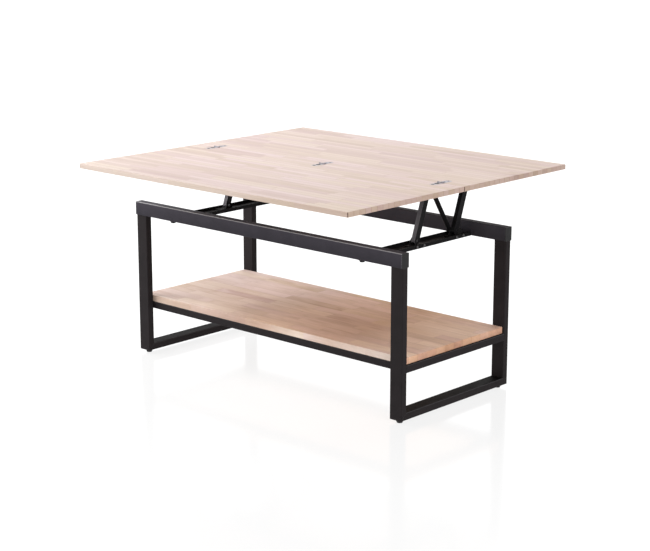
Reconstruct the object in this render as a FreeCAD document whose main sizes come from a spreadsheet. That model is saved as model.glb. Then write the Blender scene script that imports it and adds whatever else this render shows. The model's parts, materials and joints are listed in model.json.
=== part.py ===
import FreeCAD, Part
import os
import re
import Sketcher

# A coffee table whose folded top rises on leaning lift arms, slides back and opens like a book.
# Millimetres, +Z up, origin on the floor below the seam of the open top, +Y towards the back.
# The model stands raised and open. Formulas below name these sizes.
SIZES = {
    # Folding top
    "leaf_thickness": 15,
    "leaf_inset": 2,
    "leaf_round": 1.2,
    "seam_gap": 1,
    # Steel frame
    "frame_length": 1092,
    "frame_depth": 494,
    "frame_top": 489.5,
    "frame_offset": 23,
    "rail_height": 42,
    "rail_depth": 28,
    "leg_width": 44,
    "leg_depth": 21,
    "floor_rail_height": 22,
    "tube_wall": 1.5,
    "tube_round": 2.5,
    "cap_flange": 2,
    "cap_insert": 12,
    "cap_play": 0.2,
    # Tapered glides
    "foot_height": 10,
    "foot_top_radius": 12.5,
    "foot_tip_radius": 8,
    "foot_inset": 22,
    "foot_stud_radius": 4,
    "foot_stud_length": 14,
    "hole_play": 0.05,
    # Lower shelf
    "shelf_height": 189,
    "shelf_thickness": 20,
    "shelf_rail_size": 22.5,
    "shelf_end_setback": 6,
    "shelf_edge_gap": 0.5,
    "shelf_round": 1.5,
    "shelf_screw_setback": 146,
    "shelf_screw_bite": 12,
    "shelf_screw_radius": 2,
    "shelf_screw_head_radius": 4,
    "shelf_screw_head_height": 2.5,
    # Cross trays between the top rails
    "mechanism_setback": 157.5,
    "tray_width": 60,
    "tray_depth": 11,
    "tray_gauge": 2.5,
    "tongue_width": 30,
    "tongue_seat": 14,
    "tongue_reach": 23,
    "tray_bolt_radius": 4,
    "tray_bolt_head_radius": 7.5,
    "tray_bolt_head_height": 4.5,
    "tray_nut_height": 6.5,
    "tray_bolt_spare": 3,
    # Pivot brackets on the trays
    "bracket_gauge": 3,
    "bracket_length": 68,
    "bracket_lip": 8.5,
    "bracket_bolt_lead": 10.5,
    "bracket_bolt_pitch": 31,
    "bracket_bolt_radius": 2.5,
    "bracket_bolt_head_radius": 4,
    "bracket_bolt_head_height": 3,
    "ear_radius": 9,
    "ear_foot": 19,
    # Lift arms
    "arm_rise": 137.5,
    "arm_lean": 19.3,
    "arm_width": 14,
    "arm_depth": 20,
    "arm_gauge": 2,
    "arm_foot_lead": 3.5,
    "rear_foot_setback": 42,
    "arm_floor_play": 0.5,
    "side_play": 0.5,
    "pivot_radius": 4,
    "pivot_play": 0.05,
    "pivot_head_radius": 6,
    "pivot_head_height": 1.5,
    "bush_wall": 1.2,
    "bush_proud": 0.4,
    "press_play": 0.02,
    "stop_width": 12,
    "stop_depth": 15,
    "stop_height": 14,
    "stop_gap": 0.2,
    # Carrier rails and the tracks they slide in
    "pivot_drop": 22,
    "carrier_width": 50,
    "carrier_edge": 5.5,
    "carrier_front": 11,
    "carrier_back": 14,
    "carrier_gauge": 3,
    "track_gauge": 2,
    "track_play": 0.4,
    "track_side_play": 0.8,
    "track_lip": 5,
    "track_lead": 43,
    "track_overrun": 19,
    "stop_pin_radius": 2.5,
    "stop_pin_setback": 26,
    "slot_play": 0.3,
    "track_screw_radius": 2,
    "track_screw_head_radius": 3.8,
    "track_screw_bite": 9,
    "track_screw_margin": 24,
    # Assist struts
    "strut_lead": 44,
    "strut_diameter": 14,
    "strut_bore": 11.4,
    "strut_mouth_gap": 4.5,
    "strut_floor": 15,
    "strut_end_gap": 4,
    "strut_rod_diameter": 8,
    "strut_gap": 0.5,
    "strut_eye_radius": 8,
    "strut_eye_width": 12,
    "rod_eye_radius": 7,
    "rod_eye_width": 9,
    "rod_pin_radius": 3,
    "tab_radius": 6.5,
    "tab_foot": 14,
    "tab_gauge": 2.5,
    # Rest pads under the carried leaf
    "pad_radius": 8,
    "pad_height": 2,
    "pad_gap": 0.3,
    "pad_setback": 96,
    # Flush hinges
    "hinge_setback": 86,
    "hinge_length": 44,
    "hinge_width": 22,
    "hinge_gauge": 2.5,
    "hinge_rise": 0.4,
    "hinge_sink": 0.1,
    "hinge_play": 0.3,
    "knuckle_radius": 3,
    "knuckle_width": 8,
    "hinge_pin_radius": 1.5,
    "hinge_screw_radius": 1.8,
    "hinge_screw_head_radius": 3.4,
    "hinge_screw_bite": 10,
    "hinge_screw_first": 17.5,
    "hinge_screw_last": 35.5,
}

# Heights
RAIL_BASE = "(frame_top - rail_height)"
TRAY_FLOOR = f"({RAIL_BASE} + tray_gauge)"
BRACKET_FLOOR = f"({TRAY_FLOOR} + bracket_gauge)"
FOOT_PIVOT_Z = f"({BRACKET_FLOOR} + arm_floor_play + arm_depth / 2)"
HEAD_PIVOT_Z = f"({FOOT_PIVOT_Z} + arm_rise)"
LEAF_BASE = f"({HEAD_PIVOT_Z} + pivot_drop)"
TOP_HEIGHT = f"({LEAF_BASE} + leaf_thickness)"
CARRIER_TOP = f"({LEAF_BASE} - track_gauge - track_play)"
CARRIER_BASE = f"({CARRIER_TOP} - carrier_gauge)"
SHELF_BASE = "(shelf_height - shelf_thickness)"
SHELF_RAIL_BASE = f"({SHELF_BASE} - shelf_rail_size)"
HINGE_AXIS_Z = f"({TOP_HEIGHT} + hinge_rise)"
HINGE_TOP = f"({TOP_HEIGHT} - hinge_sink)"

# Depths, from the seam
LEAF_DEPTH = "(frame_depth - 2 * leaf_inset)"
FRONT_LEG_Y = "(-frame_offset - frame_depth / 2 + rail_depth / 2)"
RAIL_INNER_HALF = "(frame_depth / 2 - rail_depth)"
LEG_INNER_HALF = "(frame_depth / 2 - rail_depth / 2 - leg_depth / 2)"
SHELF_HALF = f"({LEG_INNER_HALF} - shelf_edge_gap)"
FRONT_FOOT_Y = "(-frame_offset - arm_foot_lead)"
REAR_FOOT_Y = f"({RAIL_INNER_HALF} - frame_offset - rear_foot_setback)"
ARM_PITCH = f"({REAR_FOOT_Y} - {FRONT_FOOT_Y})"
ARM_SHIFT = "(arm_rise * tan(arm_lean * 1deg))"
ARM_REACH = "(arm_rise / cos(arm_lean * 1deg))"
FRONT_HEAD_Y = f"({FRONT_FOOT_Y} + {ARM_SHIFT})"
REAR_HEAD_Y = f"({REAR_FOOT_Y} + {ARM_SHIFT})"
CARRIER_FRONT_Y = f"({FRONT_HEAD_Y} - carrier_front)"
CARRIER_LENGTH = f"({ARM_PITCH} + carrier_front + carrier_back)"
STRUT_HEAD_Y = f"({FRONT_HEAD_Y} + strut_lead)"
STOP_PIN_Y = f"({REAR_HEAD_Y} - stop_pin_setback)"

# Lowered and folded: how far the arms and then the slide bring the top forward over the frame
LOW_RISE = f"(frame_top + pad_height + pad_gap - pivot_drop - {FOOT_PIVOT_Z})"
FORWARD = f"({ARM_SHIFT} + sqrt({ARM_REACH} ^ 2 - {LOW_RISE} ^ 2))"
LEAF_MIDDLE_Y = f"(seam_gap / 2 + {LEAF_DEPTH} / 2)"
SLIDE_TRAVEL = f"({LEAF_MIDDLE_Y} + frame_offset - {FORWARD})"
TRACK_FRONT_Y = f"({CARRIER_FRONT_Y} + track_lead)"
TRACK_LENGTH = f"({CARRIER_LENGTH} + {SLIDE_TRAVEL} + track_overrun)"

# Widths, on the right-hand side
LEAF_HALF = "(frame_length / 2 - leaf_inset)"
MECHANISM_X = "(frame_length / 2 - mechanism_setback)"
HINGE_X = f"({LEAF_HALF} - hinge_setback)"
SHELF_SCREW_X = "(frame_length / 2 - shelf_screw_setback)"
LEG_X = "(frame_length / 2 - leg_width / 2)"
ARM_INNER_X = f"({MECHANISM_X} - arm_width / 2)"
ARM_OUTER_X = f"({MECHANISM_X} + arm_width / 2)"
EAR_X = f"({ARM_INNER_X} - side_play - bracket_gauge)"
STRUT_X = f"({EAR_X} - strut_gap - strut_diameter / 2)"
WEB_X = f"({ARM_OUTER_X} + side_play)"
CARRIER_OUTER_X = f"({WEB_X} + carrier_gauge + carrier_edge)"
CARRIER_MID_X = f"({CARRIER_OUTER_X} - carrier_width / 2)"
TAB_X = f"({STRUT_X} - rod_eye_width / 2 - strut_gap - tab_gauge)"
TRAY_OUTER_X = f"({MECHANISM_X} + tray_width / 2)"

doc = FreeCAD.newDocument("ConvertibleTable")
sheet = doc.addObject("Spreadsheet::Sheet", "Sizes")
for row, (alias, number) in enumerate(SIZES.items(), start=1):
    sheet.set(f"A{row}", alias)
    sheet.set(f"B{row}", str(number))
    sheet.setAlias(f"B{row}", alias)
doc.recompute()

X_AXIS = FreeCAD.Vector(1, 0, 0)
Y_AXIS = FreeCAD.Vector(0, 1, 0)
UPRIGHT = FreeCAD.Rotation()
ALONG_X = FreeCAD.Rotation(Y_AXIS, 90)
AGAINST_X = FreeCAD.Rotation(Y_AXIS, -90)


def formula(text):
    """Point each size named in a formula at its cell."""
    return re.sub(r"[a-z_]+", lambda word: f"Sizes.{word[0]}" if word[0] in SIZES else word[0], text)


def value(text):
    """Present value of a formula, for the first guess of a sketch."""
    return float(sheet.evalExpression(formula(text)))


def bind(item, **formulas):
    for name, text in formulas.items():
        item.setExpression(name, formula(text))


def place(item, x="0", y="0", z="0"):
    for axis, text in zip("xyz", (x, y, z)):
        item.setExpression(f"Placement.Base.{axis}", formula(text))


def tilt(item, angle):
    """Lean a piece about X by a formula in degrees."""
    item.Placement = FreeCAD.Placement(FreeCAD.Vector(), FreeCAD.Rotation(X_AXIS, 10))
    item.setExpression("Placement.Rotation.Angle", formula(angle))


def new_body(label):
    body = doc.addObject("PartDesign::Body", label)
    body.Label = label
    return body


def new_sketch(body, plane):
    sketch = body.newObject("Sketcher::SketchObject", f"{body.Name}_sketch")
    support = [feature for feature in body.Origin.OriginFeatures if feature.Role == plane][0]
    sketch.AttachmentSupport = [(support, "")]
    sketch.MapMode = "FlatFace"
    return sketch


def pin_point(sketch, edge, end, across, up):
    """Hold one end of a sketch edge at two formulas from the sketch's origin."""
    for kind, text in (("DistanceX", across), ("DistanceY", up)):
        index = sketch.addConstraint(Sketcher.Constraint(kind, -1, 1, edge, end, value(text)))
        sketch.renameConstraint(index, f"{kind}_{edge}_{end}")
        sketch.setExpression(f"Constraints.{kind}_{edge}_{end}", formula(text))


def add_outline(sketch, corners):
    """Closed straight-sided outline; each corner is a pair of formulas."""
    points = [FreeCAD.Vector(value(across), value(up), 0) for across, up in corners]
    first = sketch.GeometryCount
    count = len(points)
    for index, point in enumerate(points):
        sketch.addGeometry(Part.LineSegment(point, points[(index + 1) % count]))
    for index in range(count):
        after = first + (index + 1) % count
        sketch.addConstraint(Sketcher.Constraint("Coincident", first + index, 2, after, 1))
    for index, (across, up) in enumerate(corners):
        pin_point(sketch, first + index, 1, across, up)


def add_rectangle(sketch, left, right, low, high):
    add_outline(sketch, [(left, low), (right, low), (right, high), (left, high)])


def add_centred(sketch, width, height):
    add_rectangle(sketch, f"-({width}) / 2", f"({width}) / 2", f"-({height}) / 2", f"({height}) / 2")


def add_ear(sketch, foot_half, radius, height):
    """Tapered ear: a wide foot whose sides run up tangent to a round head at the pivot."""
    half, round_r, top = value(foot_half), value(radius), value(height)
    left = FreeCAD.Vector(-half, 0, 0)
    right = FreeCAD.Vector(half, 0, 0)
    head = FreeCAD.Vector(0, top, 0)
    circle = Part.Circle(head, FreeCAD.Vector(0, 0, 1), round_r)
    arc = Part.ArcOfCircle(circle, 0.2, 2.94)
    sketch.addGeometry(Part.LineSegment(left, right))
    sketch.addGeometry(Part.LineSegment(right, arc.StartPoint))
    sketch.addGeometry(arc)
    sketch.addGeometry(Part.LineSegment(arc.EndPoint, left))
    sketch.addConstraint(Sketcher.Constraint("Coincident", 0, 2, 1, 1))
    sketch.addConstraint(Sketcher.Constraint("Coincident", 3, 2, 0, 1))
    sketch.addConstraint(Sketcher.Constraint("Tangent", 1, 2, 2, 1))
    sketch.addConstraint(Sketcher.Constraint("Tangent", 2, 2, 3, 1))
    pin_point(sketch, 0, 1, f"-({foot_half})", "0")
    pin_point(sketch, 0, 2, foot_half, "0")
    pin_point(sketch, 2, 3, "0", height)
    index = sketch.addConstraint(Sketcher.Constraint("Radius", 2, round_r))
    sketch.renameConstraint(index, "head")
    sketch.setExpression("Constraints.head", formula(radius))


def add_slot(sketch, radius, spacing):
    """Upright slot outline: two round ends about the origin and a point above it."""
    round_r, top = value(radius), value(spacing)
    normal = FreeCAD.Vector(0, 0, 1)
    low = Part.ArcOfCircle(Part.Circle(FreeCAD.Vector(), normal, round_r), 3.14159265, 6.28318531)
    high = Part.ArcOfCircle(Part.Circle(FreeCAD.Vector(0, top, 0), normal, round_r), 0, 3.14159265)
    sketch.addGeometry(low)
    sketch.addGeometry(Part.LineSegment(low.EndPoint, high.StartPoint))
    sketch.addGeometry(high)
    sketch.addGeometry(Part.LineSegment(high.EndPoint, low.StartPoint))
    for index in range(4):
        sketch.addConstraint(Sketcher.Constraint("Tangent", index, 2, (index + 1) % 4, 1))
    pin_point(sketch, 0, 3, "0", "0")
    pin_point(sketch, 2, 3, "0", spacing)
    index = sketch.addConstraint(Sketcher.Constraint("Radius", 0, round_r))
    sketch.renameConstraint(index, "round_end")
    sketch.setExpression("Constraints.round_end", formula(radius))


def add_tongue(sketch, width, start, length):
    """Square-cut root at a depth, straight sides along the sketch's +Y and a full round end."""
    half, low, high = f"({width}) / 2", start, f"({start} + {length} - ({width}) / 2)"
    left = FreeCAD.Vector(-value(half), value(low), 0)
    right = FreeCAD.Vector(value(half), value(low), 0)
    centre = FreeCAD.Vector(0, value(high), 0)
    circle = Part.Circle(centre, FreeCAD.Vector(0, 0, 1), value(half))
    arc = Part.ArcOfCircle(circle, 0, 3.14159265)
    sketch.addGeometry(Part.LineSegment(left, right))
    sketch.addGeometry(Part.LineSegment(right, arc.StartPoint))
    sketch.addGeometry(arc)
    sketch.addGeometry(Part.LineSegment(arc.EndPoint, left))
    sketch.addConstraint(Sketcher.Constraint("Coincident", 0, 2, 1, 1))
    sketch.addConstraint(Sketcher.Constraint("Coincident", 3, 2, 0, 1))
    sketch.addConstraint(Sketcher.Constraint("Tangent", 1, 2, 2, 1))
    sketch.addConstraint(Sketcher.Constraint("Tangent", 2, 2, 3, 1))
    pin_point(sketch, 0, 1, f"-{half}", low)
    pin_point(sketch, 0, 2, half, low)
    pin_point(sketch, 2, 3, "0", high)


def pad(body, sketch, length, symmetric=False, reverse=False):
    feature = body.newObject("PartDesign::Pad", f"{body.Name}_pad")
    feature.Profile = sketch
    feature.SideType = "Symmetric" if symmetric else "One side"
    feature.Reversed = reverse
    bind(feature, Length=length)
    doc.recompute()
    return feature


def cut_through(body, sketch):
    """Cut a sketch right through a body, both ways."""
    feature = body.newObject("PartDesign::Pocket", f"{body.Name}_pocket")
    feature.Profile = sketch
    feature.SideType = "Symmetric"
    feature.Type = "ThroughAll"
    doc.recompute()


def round_edges(body, base, edges, radius):
    feature = body.newObject("PartDesign::Fillet", f"{body.Name}_fillet")
    feature.Base = (base, edges)
    bind(feature, Radius=radius)
    doc.recompute()
    return feature


def long_edges(shape, axis, inner):
    """Names of the edges along one axis on the outer or the inner skin of a tube."""
    box = shape.BoundBox
    across = [name for name in "XYZ" if name != axis]
    names = []
    for index, edge in enumerate(shape.Edges, start=1):
        spread = [getattr(edge.BoundBox, f"{name}Length") for name in across]
        middle = [getattr(edge.BoundBox.Center, name.lower()) for name in across]
        limits = [(getattr(box, f"{name}Min"), getattr(box, f"{name}Max")) for name in across]
        outside = all(min(abs(at - end) for end in ends) < 1e-4 for at, ends in zip(middle, limits))
        if max(spread) < 1e-4 and outside != inner:
            names.append(f"Edge{index}")
    return names


def tube(label, axis, width, height, length):
    """Rectangular steel tube centred on its own origin along one axis, with rounded corners."""
    body = new_body(label)
    section = new_sketch(body, {"X": "YZ_Plane", "Y": "XZ_Plane", "Z": "XY_Plane"}[axis])
    add_centred(section, width, height)
    add_centred(section, f"({width}) - 2 * tube_wall", f"({height}) - 2 * tube_wall")
    skin = pad(body, section, length, symmetric=True)
    outer = round_edges(body, skin, long_edges(skin.Shape, axis, inner=False), "tube_round")
    square = [name for name in long_edges(outer.Shape, axis, inner=True) if is_sharp(outer.Shape, name)]
    round_edges(body, outer, square, "tube_round - tube_wall")
    return body


def is_sharp(shape, name):
    """True where the two faces beside an edge are both flat."""
    edge = shape.getElement(name)
    faces = shape.ancestorsOfType(edge, Part.Face)
    return all(isinstance(face.Surface, Part.Plane) for face in faces)


def cylinder(radius, height, x, y, z, turn=UPRIGHT):
    item = doc.addObject("Part::Cylinder", "round")
    item.Placement = FreeCAD.Placement(FreeCAD.Vector(), turn)
    bind(item, Radius=radius, Height=height)
    place(item, x, y, z)
    return item


def cone(base, tip, height, x, y, z, turn=UPRIGHT):
    item = doc.addObject("Part::Cone", "taper")
    item.Placement = FreeCAD.Placement(FreeCAD.Vector(), turn)
    bind(item, Radius1=base, Radius2=tip, Height=height)
    place(item, x, y, z)
    return item


def hexagon(radius, height, x, y, z):
    item = doc.addObject("Part::Prism", "hexagon")
    item.Polygon = 6
    bind(item, Circumradius=radius, Height=height)
    place(item, x, y, z)
    return item


def box(length, width, height, x, y, z):
    item = doc.addObject("Part::Box", "block")
    bind(item, Length=length, Width=width, Height=height)
    place(item, x, y, z)
    return item


def fuse(items):
    item = doc.addObject("Part::MultiFuse", "joined")
    item.Shapes = items
    return item


def group(items):
    item = doc.addObject("Part::Compound", "group")
    item.Links = items
    return item


def cut(base, tools):
    item = doc.addObject("Part::Cut", "cut")
    item.Base = base
    item.Tool = tools[0] if len(tools) == 1 else group(tools)
    return item


def mirror_side(source):
    """The same piece on the other end of the table."""
    item = doc.addObject("Part::Mirroring", "mirrored")
    item.Source = source
    item.Normal = X_AXIS
    return item


def mirror_depth(source, plane="-frame_offset"):
    """The same piece on the other long side, about a plane across the depth."""
    item = doc.addObject("Part::Mirroring", "mirrored")
    item.Source = source
    item.Normal = Y_AXIS
    item.setExpression("Base.y", formula(plane))
    return item


def four_corners(source):
    """A piece of the front right corner with its copies at the other three corners."""
    rear = mirror_depth(source)
    return [source, rear, mirror_side(source), mirror_side(rear)]


NODES = {}


def node(label, item):
    item.Label = label
    NODES[label] = item


# Frame: two top rails on four legs, mitred to a floor rail at each end
def make_tray_bolt_parts():
    """Bolt from below through the tray's tongue into the rail, with its nut inside the rail."""
    head_z = f"({RAIL_BASE} - tray_gauge - tray_bolt_head_height)"
    shank = "tray_bolt_head_height + tray_gauge + tube_wall + tray_nut_height + tray_bolt_spare"
    at = (MECHANISM_X, FRONT_LEG_Y)
    bolt = fuse([
        hexagon("tray_bolt_head_radius", "tray_bolt_head_height", *at, head_z),
        cylinder("tray_bolt_radius", shank, *at, head_z),
    ])
    nut = cut(
        hexagon("tray_bolt_head_radius", "tray_nut_height", *at, f"{RAIL_BASE} + tube_wall"),
        [cylinder("tray_bolt_radius + press_play", "tray_nut_height", *at, f"{RAIL_BASE} + tube_wall")],
    )
    return [bolt, nut]


def make_top_rails():
    blank = tube("rail_blank", "X", "rail_depth", "rail_height", "frame_length - 2 * cap_flange")
    place(blank, "0", FRONT_LEG_Y, f"{RAIL_BASE} + rail_height / 2")
    hole = cylinder("tray_bolt_radius + hole_play", "3 * tube_wall",
                    MECHANISM_X, FRONT_LEG_Y, f"{RAIL_BASE} - tube_wall")
    front = cut(blank, [hole, mirror_side(hole)])
    node("top_rail_front", front)
    node("top_rail_rear", mirror_depth(front))


def make_rail_caps():
    """Moulded plugs that close the four open ends of the top rails."""
    body = new_body("rail_cap")
    flange = new_sketch(body, "YZ_Plane")
    add_centred(flange, "rail_depth", "rail_height")
    lid = pad(body, flange, "cap_flange")
    round_edges(body, lid, long_edges(lid.Shape, "X", inner=False), "tube_round")
    plug = new_sketch(body, "YZ_Plane")
    inner = "- 2 * (tube_wall + cap_play)"
    add_centred(plug, f"rail_depth {inner}", f"rail_height {inner}")
    stopper = pad(body, plug, "cap_insert", reverse=True)
    square = [name for name in long_edges(stopper.Shape, "X", inner=True) if is_sharp(stopper.Shape, name)]
    round_edges(body, stopper, square, "tube_round - tube_wall")
    place(body, "frame_length / 2 - cap_flange", FRONT_LEG_Y, f"{RAIL_BASE} + rail_height / 2")
    node("rail_end_caps", group(four_corners(body)))


def make_legs():
    body = tube("leg", "Z", "leg_width", "leg_depth", f"{RAIL_BASE} - foot_height")
    low = f"-({RAIL_BASE} - foot_height) / 2"
    mitre = new_sketch(body, "YZ_Plane")
    add_outline(mitre, [
        ("-leg_depth / 2", low),
        ("leg_depth / 2", low),
        ("leg_depth / 2", f"{low} + floor_rail_height"),
    ])
    cut_through(body, mitre)
    place(body, LEG_X, FRONT_LEG_Y, f"({RAIL_BASE} + foot_height) / 2")
    front_right, rear_right, front_left, rear_left = four_corners(body)
    node("leg_front_right", front_right)
    node("leg_rear_right", rear_right)
    node("leg_front_left", front_left)
    node("leg_rear_left", rear_left)


def make_floor_rails():
    length = "(frame_depth - rail_depth + leg_depth)"
    body = tube("floor_rail", "Y", "leg_width", "floor_rail_height", length)
    mitres = new_sketch(body, "YZ_Plane")
    low, high = "-floor_rail_height / 2", "floor_rail_height / 2"
    for sign in ("-", ""):
        end = f"{sign}{length} / 2"
        inner = f"{sign}({length} / 2 - leg_depth)"
        add_outline(mitres, [(end, low), (end, high), (inner, high)])
    cut_through(body, mitres)
    place(body, LEG_X, "-frame_offset", "foot_height + floor_rail_height / 2")
    hole = cylinder("foot_stud_radius + hole_play", "3 * tube_wall", LEG_X,
                    "-frame_offset - frame_depth / 2 + foot_inset", "foot_height - tube_wall")
    rail = cut(body, [hole, mirror_depth(hole)])
    node("floor_rail_right", rail)
    node("floor_rail_left", mirror_side(rail))


def make_feet():
    at = (LEG_X, "-frame_offset - frame_depth / 2 + foot_inset")
    glide = cone("foot_tip_radius", "foot_top_radius", "foot_height", *at, "0")
    stud = cylinder("foot_stud_radius", "foot_stud_length", *at, "foot_height")
    node("foot_glides", group(four_corners(fuse([glide, stud]))))


# Lower shelf: a ring of square tube under one laminated board
def shelf_screw_places():
    depth = f"({SHELF_HALF} - shelf_rail_size / 2)"
    spots = []
    for across in (f"-{SHELF_SCREW_X}", "0", SHELF_SCREW_X):
        for side in ("-", "+"):
            spots.append((across, f"-frame_offset {side} {depth}"))
    return spots


def make_shelf_rails():
    end = tube("shelf_end", "Y", "shelf_rail_size", "shelf_rail_size", f"2 * {LEG_INNER_HALF}")
    place(end, "frame_length / 2 - shelf_rail_size / 2", "-frame_offset",
          f"{SHELF_RAIL_BASE} + shelf_rail_size / 2")
    node("shelf_end_rail_right", end)
    node("shelf_end_rail_left", mirror_side(end))
    blank = tube("shelf_rail_blank", "X", "shelf_rail_size", "shelf_rail_size",
                 "frame_length - 2 * shelf_rail_size")
    place(blank, "0", f"-frame_offset - {SHELF_HALF} + shelf_rail_size / 2",
          f"{SHELF_RAIL_BASE} + shelf_rail_size / 2")
    holes = [cylinder("shelf_screw_radius + hole_play", "shelf_rail_size", x, y, SHELF_RAIL_BASE)
             for x, y in shelf_screw_places()]
    front = cut(blank, holes)
    node("shelf_rail_front", front)
    node("shelf_rail_rear", mirror_depth(front))


def make_shelf_board():
    body = new_body("shelf_blank")
    plan = new_sketch(body, "XY_Plane")
    add_centred(plan, "frame_length - 2 * shelf_end_setback", f"2 * {SHELF_HALF}")
    slab = pad(body, plan, "shelf_thickness")
    edges = [f"Edge{index}" for index in range(1, len(slab.Shape.Edges) + 1)]
    round_edges(body, slab, edges, "shelf_round")
    place(body, "0", "-frame_offset", SHELF_BASE)
    depth = "shelf_screw_bite + shelf_screw_radius"
    pilots = [cylinder("shelf_screw_radius + hole_play", depth, x, y, SHELF_BASE)
              for x, y in shelf_screw_places()]
    node("shelf_board", cut(body, pilots))


def make_shelf_screws():
    screws = []
    for x, y in shelf_screw_places():
        head = cylinder("shelf_screw_head_radius", "shelf_screw_head_height", x, y,
                        f"{SHELF_RAIL_BASE} - shelf_screw_head_height")
        shank = cylinder("shelf_screw_radius", "shelf_screw_head_height + shelf_rail_size + shelf_screw_bite",
                         x, y, f"{SHELF_RAIL_BASE} - shelf_screw_head_height")
        screws.append(fuse([head, shank]))
    node("shelf_screws", group(screws))


# Lift mechanism: cross trays carry the pivot brackets of the leaning arms
def bracket_bolt_places():
    middle = "- bracket_bolt_lead"
    return [f"{foot} {middle} {sign} bracket_bolt_pitch / 2"
            for foot in (FRONT_FOOT_Y, REAR_FOOT_Y) for sign in ("-", "+")]


BRACKET_BOLT_Z = f"({TRAY_FLOOR} + bracket_lip / 2)"


def make_trays():
    """Folded channel between the rails, with a round tongue bolted under each rail."""
    body = new_body("tray_blank")
    half = "tray_width / 2"
    section = new_sketch(body, "XZ_Plane")
    add_outline(section, [
        (f"-{half}", "0"),
        (half, "0"),
        (half, "tray_depth"),
        (f"{half} - tray_gauge", "tray_depth"),
        (f"{half} - tray_gauge", "tray_gauge"),
        (f"-{half} + tray_gauge", "tray_gauge"),
        (f"-{half} + tray_gauge", "tray_depth"),
        (f"-{half}", "tray_depth"),
    ])
    pad(body, section, f"2 * {RAIL_INNER_HALF}", symmetric=True)
    tongue = new_sketch(body, "XY_Plane")
    start = f"({RAIL_INNER_HALF} - tongue_seat)"
    add_tongue(tongue, "tongue_width", start, "tongue_seat + tongue_reach")
    plate = pad(body, tongue, "tray_gauge", reverse=True)
    mirrored = body.newObject("PartDesign::Mirrored", "tray_mirrored")
    mirrored.Originals = [plate]
    mirrored.MirrorPlane = ([item for item in body.Origin.OriginFeatures if item.Role == "XZ_Plane"][0], [""])
    body.Tip = mirrored
    place(body, MECHANISM_X, "-frame_offset", RAIL_BASE)
    hole = cylinder("tray_bolt_radius + hole_play", "3 * tray_gauge", MECHANISM_X, FRONT_LEG_Y,
                    f"{RAIL_BASE} - 2 * tray_gauge")
    holes = [hole, mirror_depth(hole)]
    holes += [cylinder("bracket_bolt_radius + hole_play", "3 * tray_gauge",
                       f"{TRAY_OUTER_X} - 2 * tray_gauge", y, BRACKET_BOLT_Z, ALONG_X)
              for y in bracket_bolt_places()]
    right = cut(body, holes)
    node("tray_right", right)
    node("tray_left", mirror_side(right))
    bolts = [copy for piece in make_tray_bolt_parts() for copy in four_corners(piece)]
    node("tray_bolts", group(bolts))


def make_brackets():
    """Folded bracket: a foot on the tray, a tapered ear beside the arm, a lip on the tray's wall."""
    sides = {}
    for name, foot_y in (("front", FRONT_FOOT_Y), ("rear", REAR_FOOT_Y)):
        body = new_body(f"bracket_{name}")
        foot = new_sketch(body, "XZ_Plane")
        lip_x = "(tray_width / 2 - tray_gauge)"
        ear_x = f"({EAR_X} - {MECHANISM_X})"
        add_outline(foot, [
            (ear_x, "0"),
            (lip_x, "0"),
            (lip_x, "bracket_lip"),
            (f"{lip_x} - bracket_gauge", "bracket_lip"),
            (f"{lip_x} - bracket_gauge", "bracket_gauge"),
            (ear_x, "bracket_gauge"),
        ])
        pad(body, foot, "bracket_length", symmetric=True)
        ear = new_sketch(body, "YZ_Plane")
        ear.setExpression("AttachmentOffset.Base.z", formula(ear_x))
        add_ear(ear, "ear_foot", "ear_radius", f"{FOOT_PIVOT_Z} - {TRAY_FLOOR}")
        pad(body, ear, "bracket_gauge")
        place(body, MECHANISM_X, foot_y, TRAY_FLOOR)
        holes = [cylinder("pivot_radius + press_play", "3 * bracket_gauge", f"{EAR_X} - bracket_gauge",
                          foot_y, FOOT_PIVOT_Z, ALONG_X)]
        holes += [cylinder("bracket_bolt_radius + press_play", "3 * bracket_gauge",
                           f"{TRAY_OUTER_X} - tray_gauge - 2 * bracket_gauge", y, BRACKET_BOLT_Z, ALONG_X)
                  for y in bracket_bolt_places()]
        right = cut(body, holes)
        sides[name] = right
    for name, right in sides.items():
        node(f"pivot_bracket_{name}_right", right)
        node(f"pivot_bracket_{name}_left", mirror_side(right))


def make_bracket_bolts():
    bolts = []
    for y in bracket_bolt_places():
        head = cylinder("bracket_bolt_head_radius", "bracket_bolt_head_height", TRAY_OUTER_X, y,
                        BRACKET_BOLT_Z, ALONG_X)
        shank = cylinder("bracket_bolt_radius", "tray_gauge + bracket_gauge", TRAY_OUTER_X, y,
                         BRACKET_BOLT_Z, AGAINST_X)
        bolt = fuse([head, shank])
        bolts += [bolt, mirror_side(bolt)]
    node("bracket_bolts", group(bolts))


def make_foot_pins():
    """Headed pivot pins in the bracket ears; the rear pair reach inwards to carry the struts."""
    pins = []
    inner = {"front": EAR_X, "rear": f"({STRUT_X} - strut_diameter / 2)"}
    for name, foot_y in (("front", FRONT_FOOT_Y), ("rear", REAR_FOOT_Y)):
        start = inner[name]
        pin = cylinder("pivot_radius", f"{ARM_OUTER_X} - {start}", start, foot_y, FOOT_PIVOT_Z, ALONG_X)
        pins += [pin, mirror_side(pin)]
    node("foot_pivot_pins", group(pins))


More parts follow.
